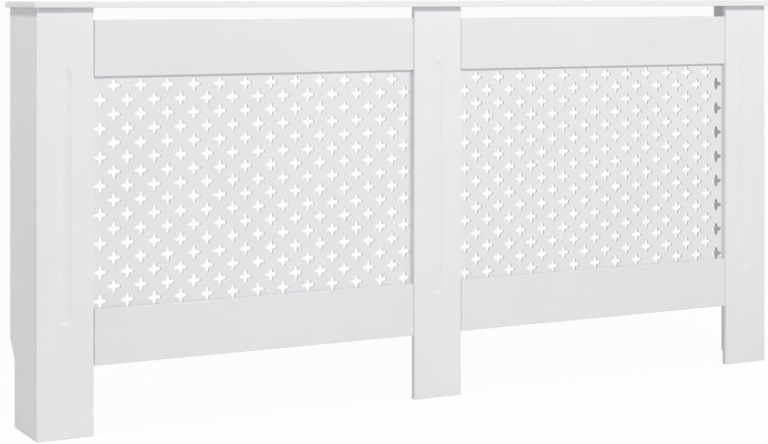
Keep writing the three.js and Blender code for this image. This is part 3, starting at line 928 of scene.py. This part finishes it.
def strip_stations(leg):
    """Along one leg from its free end: the distance, and half the strip's width there."""
    stations = []
    for n in range(END_STEPS + 1):
        angle = math.radians(90 / END_STEPS * n)
        half = STRIP_WIDTH / 2 - STRIP_CORNER * (1 - math.sin(angle + END_FLAT))
        stations.append((STRIP_CORNER - math.cos(angle) * STRIP_CORNER, min(half, STRIP_WIDTH / 2)))
    stations += [(leg * n / 4, STRIP_WIDTH / 2) for n in (1, 2, 3)]
    return stations


def bent_strip(bend, into_room, leg):
    """The bracket's skin: a rounded strip section carried along both legs and the bend."""
    straight = leg - STRIP_BEND
    stops = []
    for along, half in strip_stations(straight):
        stops.append((Vector((0, -leg + along)), Vector((1, 0)), half))
    for n in range(BEND_STEPS + 1):
        angle = math.radians(90 * n / BEND_STEPS)
        out = Vector((-math.cos(angle), math.sin(angle)))
        stops.append((Vector((STRIP_BEND, -STRIP_BEND)) + out * STRIP_BEND, -out, STRIP_WIDTH / 2))
    for along, half in reversed(strip_stations(straight)):
        stops.append((Vector((leg - along, 0)), Vector((0, -1)), half))
    skin = bmesh.new()
    layers = []
    for foot, inward, half in stops:
        burr = STRIP_BURR
        section = [
            (0, half - burr), (burr, half), (STRIP_THICKNESS - burr, half),
            (STRIP_THICKNESS, half - burr), (STRIP_THICKNESS, burr - half),
            (STRIP_THICKNESS - burr, -half), (burr, -half), (0, burr - half),
        ]
        ring = []
        for deep, height in section:
            flat = foot + inward * deep
            place = (bend.x + into_room * flat.x, bend.y + flat.y, bend.z + height)
            ring.append(skin.verts.new(place))
        layers.append(ring)
    for near, far in zip(layers, layers[1:]):
        for n in range(len(near)):
            m = (n + 1) % len(near)
            skin.faces.new([near[n], near[m], far[m], far[n]])
    skin.faces.new(reversed(layers[0]))
    skin.faces.new(layers[-1])
    return skin


bracket_zinc = zinc("bracket_zinc", (0.60, 0.61, 0.63), 0.36)
for side, into_room in (("left", 1), ("right", -1)):
    low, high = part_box(f"wall_bracket_{side}")
    bend = Vector((low.x if into_room > 0 else high.x, high.y, (low.z + high.z) / 2))
    leg = high.x - low.x
    holes = [drill(
        bend + Vector((into_room * WALL_HOLE_FROM_BEND, -2 * STRIP_THICKNESS, 0)),
        Vector((0, 1, 0)), WALL_HOLE_RADIUS, 4 * STRIP_THICKNESS, WALL_HOLE_SIDES,
    )]
    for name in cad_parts:
        if name.startswith(f"bracket_screw_{side}"):
            near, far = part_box(name)
            start = Vector((bend.x - into_room * STRIP_THICKNESS, (near.y + far.y) / 2, bend.z))
            reach = 4 * STRIP_THICKNESS
            holes.append(drill(start, Vector((into_room, 0, 0)), PANEL_HOLE_RADIUS, reach))
    bracket = piece_from(bent_strip(bend, into_room, leg), f"{side}_bracket", [bracket_zinc])
    finish_piece(bracket, holes, bracket_zinc)
    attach(bracket, "root")
    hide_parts(f"wall_bracket_{side}")

# ---- Top shelf ----
# One board lies over the whole cabinet and stands out past its front and both ends. Its
# arrises are rounded a little more, and the screws from below end inside it.
SHELF_ARRIS = 1.5 * MM

low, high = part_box("top_shelf")
shelf = piece_from(board_skin(low, high, SHELF_ARRIS), "shelf_board", [face_lacquer])
shelf_holes = screw_drills("cleat_screw", UP) + screw_drills("block_screw", UP)
finish_piece(shelf, shelf_holes, drilled)
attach(shelf, "root")
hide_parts("top_shelf")

# ---- Floor and light ----
# A plain pale floor and sky, both plain white to the camera, and soft lamps: a broad one
# stands before the cabinet, well over its height, and a small one high off its left end.
FLOOR_RADIUS = 600.0
FLOOR_TONE = 0.80
FLOOR_WHITENESS = 0.95
SKY_LIGHT = 0.43


def show_white(tree, output, lit, white, share):
    """Mixes white over a floor or sky where the camera, a reflection or a glass sees it."""
    paths = tree.nodes.new("ShaderNodeLightPath")
    whitened = tree.nodes.new("ShaderNodeMixShader")
    seen = paths.outputs["Is Camera Ray"]
    for kind in ("Is Glossy Ray", "Is Transmission Ray"):
        either = tree.nodes.new("ShaderNodeMath")
        either.operation = "MAXIMUM"
        tree.links.new(seen, either.inputs[0])
        tree.links.new(paths.outputs[kind], either.inputs[1])
        seen = either.outputs["Value"]
    part = tree.nodes.new("ShaderNodeMath")
    part.operation = "MULTIPLY"
    part.inputs[1].default_value = share
    tree.links.new(seen, part.inputs[0])
    tree.links.new(part.outputs["Value"], whitened.inputs["Fac"])
    tree.links.new(lit.outputs[0], whitened.inputs[1])
    tree.links.new(white.outputs[0], whitened.inputs[2])
    tree.links.new(whitened.outputs["Shader"], output.inputs["Surface"])


def softbox(name, place, aim, size, power):
    """A rectangular soft lamp that looks from its place to where it is aimed."""
    lamp_data = bpy.data.lights.new(name, "AREA")
    lamp_data.shape = "RECTANGLE"
    lamp_data.size, lamp_data.size_y = size
    lamp_data.energy = power
    lamp = bpy.data.objects.new(name, lamp_data)
    lamp.visible_camera = False
    lamp.location = place
    lamp.rotation_euler = (Vector(aim) - Vector(place)).to_track_quat("-Z", "Y").to_euler()
    bpy.context.scene.collection.objects.link(lamp)


floor_skin = bmesh.new()
bmesh.ops.create_circle(floor_skin, cap_ends=True, segments=96, radius=FLOOR_RADIUS)
floor_material, floor_shader, add, join = shader_of("pale_floor")
floor_shader.inputs["Base Color"].default_value = (FLOOR_TONE, FLOOR_TONE, FLOOR_TONE, 1)
floor_shader.inputs["Roughness"].default_value = 0.9
floor_tree = floor_material.node_tree
floor_white = add("ShaderNodeEmission", Strength=1.0)
floor_output = floor_tree.nodes["Material Output"]
show_white(floor_tree, floor_output, floor_shader, floor_white, FLOOR_WHITENESS)
floor = piece_from(floor_skin, "floor", [floor_material])
floor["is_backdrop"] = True

sky = bpy.data.worlds.new("studio_sky")
sky.use_nodes = True
bpy.context.scene.world = sky
sky_tree = sky.node_tree
sky_lit = sky_tree.nodes["Background"]
sky_lit.inputs["Color"].default_value = (1, 1, 1, 1)
sky_lit.inputs["Strength"].default_value = SKY_LIGHT
sky_white = sky_tree.nodes.new("ShaderNodeBackground")
sky_white.inputs["Color"].default_value = (1, 1, 1, 1)
show_white(sky_tree, sky_tree.nodes["World Output"], sky_lit, sky_white, 1.0)

softbox("front_softbox", (0.5, -3.6, 2.55), (0.2, 0, 0.42), (3.4, 0.6), 92.0)
softbox("left_softbox", (-1.90, -0.08, 2.60), (-0.86, -0.03, 0.8), (0.36, 0.36), 23.0)
bpy.context.scene.view_settings.view_transform = "Standard"

low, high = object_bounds()
